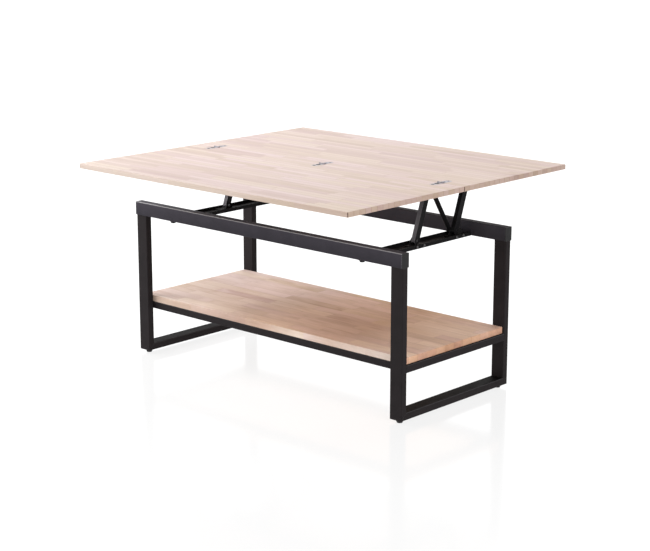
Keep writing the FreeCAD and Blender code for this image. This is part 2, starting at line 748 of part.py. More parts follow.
def make_arms():
    """Pressed channel arms, open at the back, with round ends and a bush at each pivot."""
    for name, foot_y in (("front", FRONT_FOOT_Y), ("rear", REAR_FOOT_Y)):
        body = new_body(f"arm_{name}")
        outline = new_sketch(body, "YZ_Plane")
        add_slot(outline, "arm_depth / 2", ARM_REACH)
        pad(body, outline, "arm_width", symmetric=True)
        hollow = new_sketch(body, "XY_Plane")
        half = "(arm_width / 2 - arm_gauge)"
        add_rectangle(hollow, f"-{half}", half, "-arm_depth / 2 + arm_gauge", "arm_depth")
        cut_through(body, hollow)
        tilt(body, "-arm_lean")
        place(body, MECHANISM_X, foot_y, FOOT_PIVOT_Z)
        head_y = f"({foot_y} + {ARM_SHIFT})"
        seats = []
        bushes = []
        for y, z in ((foot_y, FOOT_PIVOT_Z), (head_y, HEAD_PIVOT_Z)):
            seats.append(cylinder("pivot_radius + pivot_play + bush_wall + press_play", "arm_width",
                                  ARM_INNER_X, y, z, ALONG_X))
            start = f"{ARM_INNER_X} - bush_proud"
            length = "arm_width + 2 * bush_proud"
            sleeve = cut(cylinder("pivot_radius + pivot_play + bush_wall", length, start, y, z, ALONG_X),
                         [cylinder("pivot_radius + pivot_play", length, start, y, z, ALONG_X)])
            bushes += [sleeve, mirror_side(sleeve)]
        right = cut(body, seats)
        node(f"{name}_arm_right", right)
        node(f"{name}_arm_left", mirror_side(right))
        node(f"{name}_arm_bushes", group(bushes))


def make_arm_stops():
    """Rubber blocks behind the rear arms, their faces at the raised arm's lean."""
    body = new_body("arm_stop")
    side = new_sketch(body, "YZ_Plane")
    clear = "(arm_depth / 2 / cos(arm_lean * 1deg) + stop_gap)"
    low = f"({clear} - ({FOOT_PIVOT_Z} - {BRACKET_FLOOR}) * tan(arm_lean * 1deg))"
    high = f"({low} + stop_height * tan(arm_lean * 1deg))"
    add_outline(side, [
        (low, "0"),
        (f"{high} + stop_depth", "0"),
        (f"{high} + stop_depth", "stop_height"),
        (high, "stop_height"),
    ])
    pad(body, side, "stop_width", symmetric=True)
    place(body, MECHANISM_X, REAR_FOOT_Y, BRACKET_FLOOR)
    node("arm_stops", group([body, mirror_side(body)]))


# Carrier: an angle on each pair of arms, running in a track under the carried leaf
def make_carriers():
    body = new_body("carrier_blank")
    section = new_sketch(body, "XZ_Plane")
    outer = f"({CARRIER_OUTER_X} - {CARRIER_MID_X})"
    web = f"({WEB_X} - {CARRIER_MID_X})"
    drop = f"-(carrier_gauge + {CARRIER_BASE} - {HEAD_PIVOT_Z} + ear_radius)"
    add_outline(section, [
        (f"-{outer}", "0"),
        (f"-{outer}", "-carrier_gauge"),
        (web, "-carrier_gauge"),
        (web, drop),
        (f"{web} + carrier_gauge", drop),
        (f"{web} + carrier_gauge", "-carrier_gauge"),
        (outer, "-carrier_gauge"),
        (outer, "0"),
    ])
    angle = pad(body, section, CARRIER_LENGTH, symmetric=True)
    floor = angle.Shape.BoundBox.ZMin
    corners = [f"Edge{index}" for index, edge in enumerate(angle.Shape.Edges, start=1)
               if edge.BoundBox.ZMax - floor < 1e-4 and edge.BoundBox.XLength > 1e-3]
    round_edges(body, angle, corners, "ear_radius")
    middle_y = f"({CARRIER_FRONT_Y} + {CARRIER_LENGTH} / 2)"
    tab = new_sketch(body, "YZ_Plane")
    tab.AttachmentOffset = FreeCAD.Placement(FreeCAD.Vector(), FreeCAD.Rotation(FreeCAD.Vector(0, 0, 1), 180))
    bind(tab, **{"AttachmentOffset.Base.x": f"{STRUT_HEAD_Y} - {middle_y}",
                 "AttachmentOffset.Base.y": "-carrier_gauge",
                 "AttachmentOffset.Base.z": f"{TAB_X} - {CARRIER_MID_X}"})
    add_ear(tab, "tab_foot", "tab_radius", f"{CARRIER_BASE} - {HEAD_PIVOT_Z}")
    pad(body, tab, "tab_gauge")
    place(body, CARRIER_MID_X, middle_y, CARRIER_TOP)
    tools = [cylinder("pivot_radius + press_play", "3 * carrier_gauge", f"{WEB_X} - carrier_gauge",
                      y, HEAD_PIVOT_Z, ALONG_X) for y in (FRONT_HEAD_Y, REAR_HEAD_Y)]
    tools.append(cylinder("rod_pin_radius + press_play", "3 * tab_gauge", f"{TAB_X} - tab_gauge",
                          STRUT_HEAD_Y, HEAD_PIVOT_Z, ALONG_X))
    tools.append(slide_slot())
    right = cut(body, tools)
    node("carrier_right", right)
    node("carrier_left", mirror_side(right))


def slide_slot():
    """Slot in the carrier whose ends stop the track's pin at both ends of the slide."""
    reach = "(stop_pin_radius + slot_play)"
    start = f"({STOP_PIN_Y} - {SLIDE_TRAVEL})"
    depth, low = "3 * carrier_gauge", f"{CARRIER_BASE} - carrier_gauge"
    return fuse([
        cylinder(reach, depth, CARRIER_MID_X, STOP_PIN_Y, low),
        cylinder(reach, depth, CARRIER_MID_X, start, low),
        box(f"2 * {reach}", SLIDE_TRAVEL, depth, f"{CARRIER_MID_X} - {reach}", start, low),
    ])


def make_head_pins():
    """Pins of the arms' upper ends and of the strut rods, fixed in the carriers."""
    pins = []
    for y in (FRONT_HEAD_Y, REAR_HEAD_Y):
        outer = f"({WEB_X} + carrier_gauge)"
        shank = cylinder("pivot_radius", f"{outer} - {ARM_INNER_X}", ARM_INNER_X, y, HEAD_PIVOT_Z, ALONG_X)
        head = cylinder("pivot_head_radius", "pivot_head_height", outer, y, HEAD_PIVOT_Z, ALONG_X)
        pins.append(fuse([shank, head]))
    pins.append(cylinder("rod_pin_radius", "tab_gauge + 2 * strut_gap + rod_eye_width", TAB_X,
                         STRUT_HEAD_Y, HEAD_PIVOT_Z, ALONG_X))
    node("head_pivot_pins", group(pins + [mirror_side(pin) for pin in pins]))


def track_screw_places():
    first = f"({TRACK_FRONT_Y} + track_screw_margin)"
    last = f"({TRACK_FRONT_Y} + {TRACK_LENGTH} - track_screw_margin)"
    return [first, f"({STOP_PIN_Y} + {last}) / 2", last]


def make_tracks():
    body = new_body("track_blank")
    section = new_sketch(body, "XZ_Plane")
    inner = "(carrier_width / 2 + track_side_play)"
    outer = f"({inner} + track_gauge)"
    lip = f"({inner} - track_lip)"
    roof = "-track_gauge"
    floor = "-(track_gauge + carrier_gauge + 2 * track_play)"
    base = f"({floor} - track_gauge)"
    add_outline(section, [
        (f"-{outer}", "0"),
        (f"-{outer}", base),
        (f"-{lip}", base),
        (f"-{lip}", floor),
        (f"-{inner}", floor),
        (f"-{inner}", roof),
        (inner, roof),
        (inner, floor),
        (lip, floor),
        (lip, base),
        (outer, base),
        (outer, "0"),
    ])
    pad(body, section, TRACK_LENGTH, symmetric=True)
    place(body, CARRIER_MID_X, f"{TRACK_FRONT_Y} + {TRACK_LENGTH} / 2", LEAF_BASE)
    tools = [cone("track_screw_head_radius + press_play", "track_screw_radius + press_play", "track_gauge",
                  CARRIER_MID_X, y, f"{LEAF_BASE} - track_gauge") for y in track_screw_places()]
    tools.append(cylinder("stop_pin_radius + press_play", "3 * track_gauge", CARRIER_MID_X, STOP_PIN_Y,
                          f"{LEAF_BASE} - 2 * track_gauge"))
    right = cut(body, tools)
    node("slide_track_right", right)
    node("slide_track_left", mirror_side(right))


def make_track_fasteners():
    screws = []
    for y in track_screw_places():
        head = cone("track_screw_head_radius", "track_screw_radius", "track_gauge",
                    CARRIER_MID_X, y, f"{LEAF_BASE} - track_gauge")
        shank = cylinder("track_screw_radius", "track_screw_bite", CARRIER_MID_X, y, LEAF_BASE)
        screw = fuse([head, shank])
        screws += [screw, mirror_side(screw)]
    node("track_screws", group(screws))
    pin = cylinder("stop_pin_radius", "track_gauge + 2 * track_play + carrier_gauge", CARRIER_MID_X,
                   STOP_PIN_Y, f"{CARRIER_BASE} - track_play")
    node("slide_stop_pins", group([pin, mirror_side(pin)]))


# Assist struts: a rod that draws out of a tube as the top comes down
STRUT_TILT = f"atan2({REAR_FOOT_Y} - {STRUT_HEAD_Y}; arm_rise)"
STRUT_SPAN = f"sqrt(({REAR_FOOT_Y} - {STRUT_HEAD_Y}) ^ 2 + arm_rise ^ 2)"
STRUT_TUBE_LENGTH = f"({STRUT_SPAN} - rod_eye_radius - strut_mouth_gap)"
STRUT_ROD_LENGTH = f"({STRUT_SPAN} - strut_floor - strut_end_gap)"


def make_struts():
    """Each half is turned along its own axis and fused to a cross eye."""
    half = "strut_diameter / 2"
    barrel = new_body("strut_barrel")
    wall = new_sketch(barrel, "XZ_Plane")
    add_outline(wall, [
        ("0", "0"),
        (half, "0"),
        (half, STRUT_TUBE_LENGTH),
        ("strut_bore / 2", STRUT_TUBE_LENGTH),
        ("strut_bore / 2", "strut_floor"),
        ("0", "strut_floor"),
    ])
    turn_solid(barrel, wall)
    tilt(barrel, STRUT_TILT)
    place(barrel, STRUT_X, REAR_FOOT_Y, FOOT_PIVOT_Z)
    eye = cylinder("strut_eye_radius", "strut_eye_width", f"{STRUT_X} - strut_eye_width / 2", REAR_FOOT_Y,
                   FOOT_PIVOT_Z, ALONG_X)
    bore = cylinder("pivot_radius + pivot_play", "2 * strut_diameter", f"{STRUT_X} - strut_diameter",
                    REAR_FOOT_Y, FOOT_PIVOT_Z, ALONG_X)
    right_tube = cut(fuse([barrel, eye]), [bore])
    node("strut_tube_right", right_tube)
    node("strut_tube_left", mirror_side(right_tube))

    rod = new_body("strut_rod")
    stem = new_sketch(rod, "XZ_Plane")
    add_rectangle(stem, "0", "strut_rod_diameter / 2", f"-{STRUT_ROD_LENGTH}", "0")
    turn_solid(rod, stem)
    tilt(rod, STRUT_TILT)
    place(rod, STRUT_X, STRUT_HEAD_Y, HEAD_PIVOT_Z)
    start = f"{STRUT_X} - rod_eye_width / 2"
    rod_eye = cylinder("rod_eye_radius", "rod_eye_width", start, STRUT_HEAD_Y, HEAD_PIVOT_Z, ALONG_X)
    rod_bore = cylinder("rod_pin_radius + pivot_play", "rod_eye_width", start, STRUT_HEAD_Y,
                        HEAD_PIVOT_Z, ALONG_X)
    right_rod = cut(fuse([rod, rod_eye]), [rod_bore])
    node("strut_rod_right", right_rod)
    node("strut_rod_left", mirror_side(right_rod))


def turn_solid(body, sketch):
    feature = body.newObject("PartDesign::Revolution", f"{body.Name}_turned")
    feature.Profile = sketch
    feature.ReferenceAxis = (sketch, ["V_Axis"])
    feature.Angle = 360
    doc.recompute()


# Folding top: two leaves joined by flush hinges let into their upper faces
HINGE_SCREWS = ("hinge_screw_first", "hinge_screw_last")
HINGE_SPOTS = (f"-{HINGE_X}", "0", HINGE_X)


def make_leaf_blank(label):
    """Laminated leaf behind the seam, with its hinge recesses and the hinge screws' pilot holes."""
    body = new_body(label)
    plan = new_sketch(body, "XY_Plane")
    add_rectangle(plan, f"-{LEAF_HALF}", LEAF_HALF, "seam_gap / 2", f"seam_gap / 2 + {LEAF_DEPTH}")
    slab = pad(body, plan, "leaf_thickness", reverse=True)
    edges = [f"Edge{index}" for index in range(1, len(slab.Shape.Edges) + 1)]
    round_edges(body, slab, edges, "leaf_round")
    place(body, "0", "0", TOP_HEIGHT)
    tools = []
    for x in HINGE_SPOTS:
        tools.append(hinge_recess(x))
        room = "(knuckle_radius + hinge_play)"
        tools.append(cylinder(room, "hinge_width + 2 * hinge_play",
                              f"{x} - hinge_width / 2 - hinge_play", "0", HINGE_AXIS_Z, ALONG_X))
        for y in HINGE_SCREWS:
            tools.append(cylinder("hinge_screw_radius + hole_play", "hinge_gauge + hinge_screw_bite",
                                  x, y, f"{HINGE_TOP} - hinge_gauge - hinge_screw_bite"))
    return cut(body, tools)


def hinge_recess(x):
    body = new_body("hinge_recess")
    plan = new_sketch(body, "XY_Plane")
    add_tongue(plan, "hinge_width + 2 * hinge_play", "0", "hinge_length + hinge_play")
    pad(body, plan, "hinge_gauge + hinge_sink", reverse=True)
    place(body, x, "0", TOP_HEIGHT)
    return body


def make_hinge_plate(x, own_knuckles):
    """One plate of a hinge behind the seam, with knuckles at the listed places along its pin."""
    body = new_body("hinge_plate")
    plan = new_sketch(body, "XY_Plane")
    add_tongue(plan, "hinge_width", "0", "hinge_length")
    pad(body, plan, "hinge_gauge", reverse=True)
    place(body, x, "0", HINGE_TOP)
    outer = "(hinge_width / 2 - knuckle_width / 2)"
    spans = {
        "outer": [(f"{x} - hinge_width / 2", outer), (f"{x} + knuckle_width / 2", outer)],
        "middle": [(f"{x} - knuckle_width / 2 + hinge_play / 2", "knuckle_width - hinge_play")],
    }
    other = {
        "outer": [(f"{x} - knuckle_width / 2", "knuckle_width")],
        "middle": [(f"{x} - hinge_width / 2", f"{outer} + hinge_play / 2"),
                   (f"{x} + knuckle_width / 2 - hinge_play / 2", f"{outer} + hinge_play / 2")],
    }
    room = "(knuckle_radius + hinge_play)"
    notches = [cylinder(room, length, start, "0", HINGE_AXIS_Z, ALONG_X)
               for start, length in other[own_knuckles]]
    knuckles = [cylinder("knuckle_radius", length, start, "0", HINGE_AXIS_Z, ALONG_X)
                for start, length in spans[own_knuckles]]
    bore = cylinder("hinge_pin_radius + pivot_play", "hinge_width", f"{x} - hinge_width / 2", "0",
                    HINGE_AXIS_Z, ALONG_X)
    sinks = [cone("hinge_screw_radius + press_play", "hinge_screw_head_radius + press_play", "hinge_gauge",
                  x, y, f"{HINGE_TOP} - hinge_gauge") for y in HINGE_SCREWS]
    return cut(fuse([cut(body, notches)] + knuckles), [bore] + sinks)


def make_hinge_screws():
    screws = []
    for x in HINGE_SPOTS:
        for y in HINGE_SCREWS:
            head = cone("hinge_screw_radius", "hinge_screw_head_radius", "hinge_gauge",
                        x, y, f"{HINGE_TOP} - hinge_gauge")
            shank = cylinder("hinge_screw_radius", "hinge_screw_bite", x, y,
                             f"{HINGE_TOP} - hinge_gauge - hinge_screw_bite")
            screws.append(fuse([head, shank]))
    return group(screws)


def make_top():
    blank = make_leaf_blank("leaf_blank")
    pilots = []
    for y in track_screw_places():
        pilot = cylinder("track_screw_radius + hole_play", "track_screw_bite + track_screw_radius",
                         CARRIER_MID_X, y, LEAF_BASE)
        pilots += [pilot, mirror_side(pilot)]
    node("rear_leaf", cut(blank, pilots))
    node("front_leaf", mirror_depth(blank, "0"))
    node("rear_hinge_plates", group([make_hinge_plate(x, "outer") for x in HINGE_SPOTS]))
    front_plates = group([make_hinge_plate(x, "middle") for x in HINGE_SPOTS])
    node("front_hinge_plates", mirror_depth(front_plates, "0"))
    screws = make_hinge_screws()
    node("rear_hinge_screws", screws)
    node("front_hinge_screws", mirror_depth(screws, "0"))
    pins = [cylinder("hinge_pin_radius", "hinge_width", f"{x} - hinge_width / 2", "0", HINGE_AXIS_Z, ALONG_X)
            for x in HINGE_SPOTS]
    node("hinge_pins", group(pins))


def make_rest_pads():
    """Felt pads under the carried leaf that meet the top rails when the top is closed."""
    pads = []
    for side in ("-", "+"):
        y = f"{LEAF_MIDDLE_Y} {side} (frame_depth / 2 - rail_depth / 2)"
        pads.append(cylinder("pad_radius", "pad_height", "frame_length / 2 - pad_setback", y,
                             f"{LEAF_BASE} - pad_height"))
    node("rest_pads", group(pads + [mirror_side(item) for item in pads]))


make_top_rails()
make_rail_caps()
make_legs()
make_floor_rails()
make_feet()
make_shelf_rails()
make_shelf_board()
make_shelf_screws()
make_trays()
make_brackets()
make_bracket_bolts()
make_foot_pins()
make_arms()
make_arm_stops()
make_carriers()
make_head_pins()
make_tracks()
make_track_fasteners()
make_struts()
make_top()
make_rest_pads()
doc.recompute()

for item in doc.Objects:
    if "Invalid" in item.State or "Error" in item.State:
        raise RuntimeError(f"{item.Label} did not build: {item.State}")
for label, item in NODES.items():
    if item.Shape.isNull() or not item.Shape.isValid() or not item.Shape.Solids:
        raise RuntimeError(f"{label} has no valid solid")

os.makedirs("parts", exist_ok=True)
for label, item in NODES.items():
    item.Shape.exportStep(f"parts/{label}.step")
print(f"{len(NODES)} nodes, arms {value(ARM_REACH):.3f} mm between pivots")
print(f"lift {value(f'arm_lean + acos({LOW_RISE} / {ARM_REACH}) / 1deg'):.3f} degrees,"
      f" top moves {value(FORWARD):.3f} mm forward")
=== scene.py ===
import json
import math

import bmesh
import bpy
from mathutils import Matrix, Vector


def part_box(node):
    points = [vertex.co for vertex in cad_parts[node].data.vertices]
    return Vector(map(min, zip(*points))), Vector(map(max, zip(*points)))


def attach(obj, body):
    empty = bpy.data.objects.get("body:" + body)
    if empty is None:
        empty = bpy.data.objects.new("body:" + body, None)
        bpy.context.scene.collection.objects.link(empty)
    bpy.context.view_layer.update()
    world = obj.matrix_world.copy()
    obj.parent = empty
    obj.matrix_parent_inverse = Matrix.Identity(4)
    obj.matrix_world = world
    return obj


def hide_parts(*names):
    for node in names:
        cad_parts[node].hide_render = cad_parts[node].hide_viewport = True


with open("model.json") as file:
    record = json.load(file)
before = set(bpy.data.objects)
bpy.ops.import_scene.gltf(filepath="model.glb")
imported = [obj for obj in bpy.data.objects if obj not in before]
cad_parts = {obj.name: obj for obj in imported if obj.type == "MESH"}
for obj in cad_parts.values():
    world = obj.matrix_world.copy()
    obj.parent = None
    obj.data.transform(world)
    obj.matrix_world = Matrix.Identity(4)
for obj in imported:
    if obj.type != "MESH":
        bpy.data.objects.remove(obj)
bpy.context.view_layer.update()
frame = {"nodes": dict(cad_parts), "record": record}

# Convertible coffee dining table, raised and open: metres, +Z up, the seam of the top along X.
nodes = frame["nodes"]
node_slot = {part["node"]: part["material_slot"] for part in frame["record"]["subparts"]}
body_of = {node: body for body, names in frame["record"]["behaviour"]["bodies"].items() for node in names}

# Camera, at the photograph's viewing angle
AZIMUTH = math.radians(42.673)
ELEVATION = math.radians(13.662)
DISTANCE = 5.2348
AIM = Vector((0.0051, 0.0068, 0.2913))
LENS_MM = 94.68
SENSOR_MM = 36.0


class Graph:
    """A material's node tree, built one named step at a time."""

    def __init__(self, name):
        self.material = bpy.data.materials.new(name)
        self.material.use_nodes = True
        self.tree = self.material.node_tree
        self.tree.nodes.clear()
        output = self.tree.nodes.new("ShaderNodeOutputMaterial")
        self.shader = self.tree.nodes.new("ShaderNodeBsdfPrincipled")
        self.tree.links.new(self.shader.outputs["BSDF"], output.inputs["Surface"])
        self.place = self.node("ShaderNodeTexCoord").outputs["Object"]

    def node(self, kind, **settings):
        node = self.tree.nodes.new(kind)
        for key, setting in settings.items():
            setattr(node, key, setting)
        return node

    def feed(self, socket, source):
        """Link a socket, or set it to a plain value."""
        if isinstance(source, bpy.types.NodeSocket):
            self.tree.links.new(source, socket)
        else:
            socket.default_value = source

    def math(self, operation, first, second=0.0, clamp=False):
        node = self.node("ShaderNodeMath", operation=operation, use_clamp=clamp)
        self.feed(node.inputs[0], first)
        self.feed(node.inputs[1], second)
        return node.outputs[0]

    def split(self, vector):
        node = self.node("ShaderNodeSeparateXYZ")
        self.feed(node.inputs[0], vector)
        return node.outputs

    def join(self, x, y, z):
        node = self.node("ShaderNodeCombineXYZ")
        for socket, source in zip(node.inputs, (x, y, z)):
            self.feed(socket, source)
        return node.outputs[0]

    def scaled(self, vector, factors):
        node = self.node("ShaderNodeVectorMath", operation="MULTIPLY")
        self.feed(node.inputs[0], vector)
        node.inputs[1].default_value = factors
        return node.outputs[0]

    def shifted(self, vector, offset):
        node = self.node("ShaderNodeVectorMath", operation="ADD")
        self.feed(node.inputs[0], vector)
        self.feed(node.inputs[1], offset)
        return node.outputs[0]

    def noise(self, vector, scale, detail=3.0, roughness=0.5, distortion=0.0):
        node = self.node("ShaderNodeTexNoise")
        self.feed(node.inputs["Vector"], vector)
        node.inputs["Scale"].default_value = scale
        node.inputs["Detail"].default_value = detail
        node.inputs["Roughness"].default_value = roughness
        node.inputs["Distortion"].default_value = distortion
        return node.outputs["Fac"]

    def random(self, vector):
        node = self.node("ShaderNodeTexWhiteNoise", noise_dimensions="3D")
        self.feed(node.inputs["Vector"], vector)
        return node.outputs["Value"], node.outputs["Color"]

    def ramp(self, factor, stops):
        node = self.node("ShaderNodeValToRGB")
        ramp = node.color_ramp
        while len(ramp.elements) < len(stops):
            ramp.elements.new(0.5)
        for element, (position, colour) in zip(ramp.elements, stops):
            element.position = position
            element.color = (*colour, 1.0)
        self.feed(node.inputs["Fac"], factor)
        return node.outputs["Color"]

    def mix(self, factor, first, second, blend="MIX"):
        node = self.node("ShaderNodeMix", data_type="RGBA", blend_type=blend)
        self.feed(node.inputs[0], factor)
        for socket, source in ((node.inputs[6], first), (node.inputs[7], second)):
            self.feed(socket, source if isinstance(source, bpy.types.NodeSocket) else (*source, 1.0))
        return node.outputs[2]

    def range(self, source, low, high, new_low, new_high):
        node = self.node("ShaderNodeMapRange", clamp=True)
        self.feed(node.inputs["Value"], source)
        numbers = {"From Min": low, "From Max": high, "To Min": new_low, "To Max": new_high}
        for name, number in numbers.items():
            node.inputs[name].default_value = number
        return node.outputs["Result"]

    def bump(self, height, distance, strength):
        node = self.node("ShaderNodeBump")
        node.inputs["Strength"].default_value = strength
        node.inputs["Distance"].default_value = distance
        self.feed(node.inputs["Height"], height)
        return node.outputs["Normal"]

    def edge(self, radius):
        """How far a rounded-over edge turns the surface: 0 on flats, rising along edges."""
        bevel = self.node("ShaderNodeBevel", samples=4)
        bevel.inputs["Radius"].default_value = radius
        flat = self.node("ShaderNodeNewGeometry").outputs["Normal"]
        dot = self.node("ShaderNodeVectorMath", operation="DOT_PRODUCT")
        self.feed(dot.inputs[0], bevel.outputs["Normal"])
        self.feed(dot.inputs[1], flat)
        return self.math("SUBTRACT", 1.0, dot.outputs["Value"], clamp=True)

    def set(self, **inputs):
        """Feed the shader's sockets, named in lower case with underscores."""
        for name, source in inputs.items():
            self.feed(self.shader.inputs[name.replace("_", " ").title().replace("Ior", "IOR")], source)
        return self.material


def islands(node):
    """Boxes of the separate solids of a node, as (lowest corner, highest corner)."""
    mesh = bmesh.new()
    mesh.from_mesh(nodes[node].data)
    bmesh.ops.remove_doubles(mesh, verts=mesh.verts, dist=1e-6)
    boxes = []
    waiting = set(mesh.verts)
    for start in mesh.verts:
        if start not in waiting:
            continue
        reached = {start}
        border = [start]
        while border:
            for edge in border.pop().link_edges:
                for vert in edge.verts:
                    if vert not in reached:
                        reached.add(vert)
                        border.append(vert)
        waiting -= reached
        places = [vert.co for vert in reached]
        boxes.append((Vector(map(min, zip(*places))), Vector(map(max, zip(*places)))))
    mesh.free()
    return boxes


# Wood. A grain squeezes a noise along X, Y and Z; lengths are in metres.
leaf_low, leaf_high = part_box("rear_leaf")
shelf_low, shelf_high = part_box("shelf_board")
BOARD_ENDS = (leaf_low[0], leaf_high[0])
FINGER_PITCH = 0.0035
FINGER_SLOPE = 1.6
ROW_SHIFT = 37.0  # blocks, the most that a row starts along
OWN_FIGURE = (9.0, 9.0, 9.0)  # how far apart the figures of two blocks may lie
BAND_GRAIN = (2.4, 66.0, 66.0)
FIBRE_GRAIN = (14.0, 900.0, 900.0)
PORE_GRAIN = (60.0, 1500.0, 1500.0)
CLOUD_GRAIN = (9.0, 24.0, 24.0)
EDGE_CALM = 0.75  # share of the blocks' differences that long edges lose
JOINT_DARK, JOINT_GONE = 0.0002, 0.0012
# metres from the seam or a corner where its painted shade is full, and where it is gone
SEAM_CORNER_DARK, SEAM_CORNER_GONE = 0.0012, 0.0026
UPRIGHT = 0.85  # faces steeper than this count as upright
WOOD_RELIEF = 0.00012


def staved_wood(name, look, stave, block, seed, corner=None):
    """Finger-jointed staves along X: each block has its own tone and figure, with fine joint lines."""
    g = Graph(name)
    x, y, _ = g.split(g.place)
    across = g.math("DIVIDE", g.math("ADD", y, seed), stave)
    row = g.math("FLOOR", across)
    row_random, _ = g.random(g.join(row, seed, 0.0))
    start = g.math("MULTIPLY", row_random, ROW_SHIFT)
    fingers = g.math("MULTIPLY", g.math("PINGPONG", y, FINGER_PITCH), FINGER_SLOPE)
    run = g.math("ADD", g.math("DIVIDE", g.math("ADD", x, fingers), block), start)
    tone, own = g.random(g.join(row, g.math("FLOOR", run), seed))
    normal = g.split(g.node("ShaderNodeNewGeometry").outputs["True Normal"])
    long_edge = g.math("ABSOLUTE", normal[1])
    calm = g.math("MULTIPLY", long_edge, EDGE_CALM)
    tone = g.math("ADD", tone, g.math("MULTIPLY", g.math("SUBTRACT", 0.5, tone), calm))

    # Figure: long soft bands, fibres, pores and clouds, shifted block by block
    own_place = g.shifted(g.place, g.scaled(own, OWN_FIGURE))
    bands = g.noise(g.scaled(own_place, BAND_GRAIN), 1.0, 4.0, 0.62, 0.4)
    fibres = g.noise(g.scaled(own_place, FIBRE_GRAIN), 1.0, 2.0, 0.6)
    pores = g.range(g.noise(g.scaled(own_place, PORE_GRAIN), 1.0, 1.0), 0.66, 0.78, 0.0, 1.0)
    clouds = g.noise(g.scaled(own_place, CLOUD_GRAIN), 1.0, 3.0, 0.5, 0.8)
    shade = g.math("MULTIPLY", tone, look["tone_share"])
    for layer, share in ((bands, "band_share"), (fibres, "fibre_share"), (clouds, "cloud_share")):
        shade = g.math("ADD", shade, g.math("MULTIPLY", layer, look[share]))
    colour = g.ramp(shade, look["tones"])
    colour = g.mix(g.split(own)[1], colour, look["straw"], "MULTIPLY")

    # Painted light and shade that change from end to end and from side to side
    along = g.range(x, *BOARD_ENDS, 0.0, 1.0)
    aside = g.range(y, *look["sides"], 0.0, 1.0)
    colour = g.mix(1.0, colour, g.ramp(along, look["painted_light_along"]), "MULTIPLY")
    colour = g.mix(1.0, colour, g.ramp(aside, look["painted_light_across"]), "MULTIPLY")
    colour = g.mix(g.math("MULTIPLY", pores, look["pore_depth"]), colour, look["joint"], "MULTIPLY")

    # Joint lines between staves and between blocks, fainter where a block is dark
    stave_gap = g.math("MULTIPLY", g.math("PINGPONG", across, 0.5), stave)
    block_gap = g.math("MULTIPLY", g.math("PINGPONG", run, 0.5), block)
    joint = g.range(g.math("MINIMUM", stave_gap, block_gap), JOINT_DARK, JOINT_GONE, 1.0, 0.0)
    joint = g.math("MULTIPLY", joint, g.math("SUBTRACT", 1.0, long_edge))
    plain = g.math("MULTIPLY", g.range(tone, 0.2, 0.9, 0.2, 1.0), look["joint_depth"])
    colour = g.mix(g.math("MULTIPLY", joint, plain), colour, look["joint"], "MULTIPLY")

    # Sawn edges: the end faces are darker than the long faces, and the long faces get painted light and shade
    # that change from end to end
    colour = g.mix(g.math("ABSOLUTE", normal[0]), colour, look["end_grain"], "MULTIPLY")
    colour = g.mix(long_edge, colour, g.ramp(along, look["long_edge"]), "MULTIPLY")
    if corner:
        # Near-black painted shade in the seam between the leaves; the sharp upright corners are darker too
        half_length, half_depth = corner
        from_end = g.math("SUBTRACT", half_length, g.math("ABSOLUTE", x))
        from_side = g.math("SUBTRACT", half_depth, g.math("ABSOLUTE", y))
        near = g.math("MINIMUM", g.math("ABSOLUTE", y), g.math("MAXIMUM", from_end, from_side))
        upright = g.math("SUBTRACT", UPRIGHT, g.math("ABSOLUTE", normal[2]), clamp=True)
        seam_shade_and_dark_corners = g.math("MULTIPLY", g.range(near, SEAM_CORNER_DARK, SEAM_CORNER_GONE, 1.0, 0.0), upright)
        colour = g.mix(seam_shade_and_dark_corners, colour, look["seam_shade_and_dark_corners"])

    sunk = g.math("ADD", pores, g.math("MULTIPLY", joint, 2.0))
    height = g.math("SUBTRACT", g.math("MULTIPLY", fibres, 0.5), sunk)
    gloss = g.range(bands, 0.3, 0.7, 0.52, 0.64)
    return g.set(base_color=colour, roughness=gloss, normal=g.bump(height, WOOD_RELIEF, 0.5),
                 specular_ior_level=look["shine"])


# Steel, plastic and felt
EDGE_RUB_AND_HIGHLIGHT = 0.0022  # metres along an edge where the coat is rubbed and gets a painted highlight
ORANGE_PEEL = 0.00007
FACE_TURN = (0.5, 0.9)  # a face begins to count as facing a way, and does so fully
BRUSH_GRAIN = (2600.0, 160.0, 2600.0)
BRUSH_RELIEF = 0.00004
# Near-black painted shade round the hinges' screws and on their barrels' sides
PAINTED_SHADE_COLOUR = (0.02, 0.02, 0.022)
SHADE_CORE, SHADE_GONE = 0.75, 1.3  # shares of a sink's reach
BARREL_EDGE, BARREL_GONE = 0.0040, 0.0046  # metres from the seam
CREST_LOW, CREST_HIGH = 0.0008, 0.0002  # metres below the barrel's top
FELT_RELIEF = 0.0003


def grey(share):
    return (share, share, share)


def brighter(colour, factor):
    return tuple(factor * channel for channel in colour)


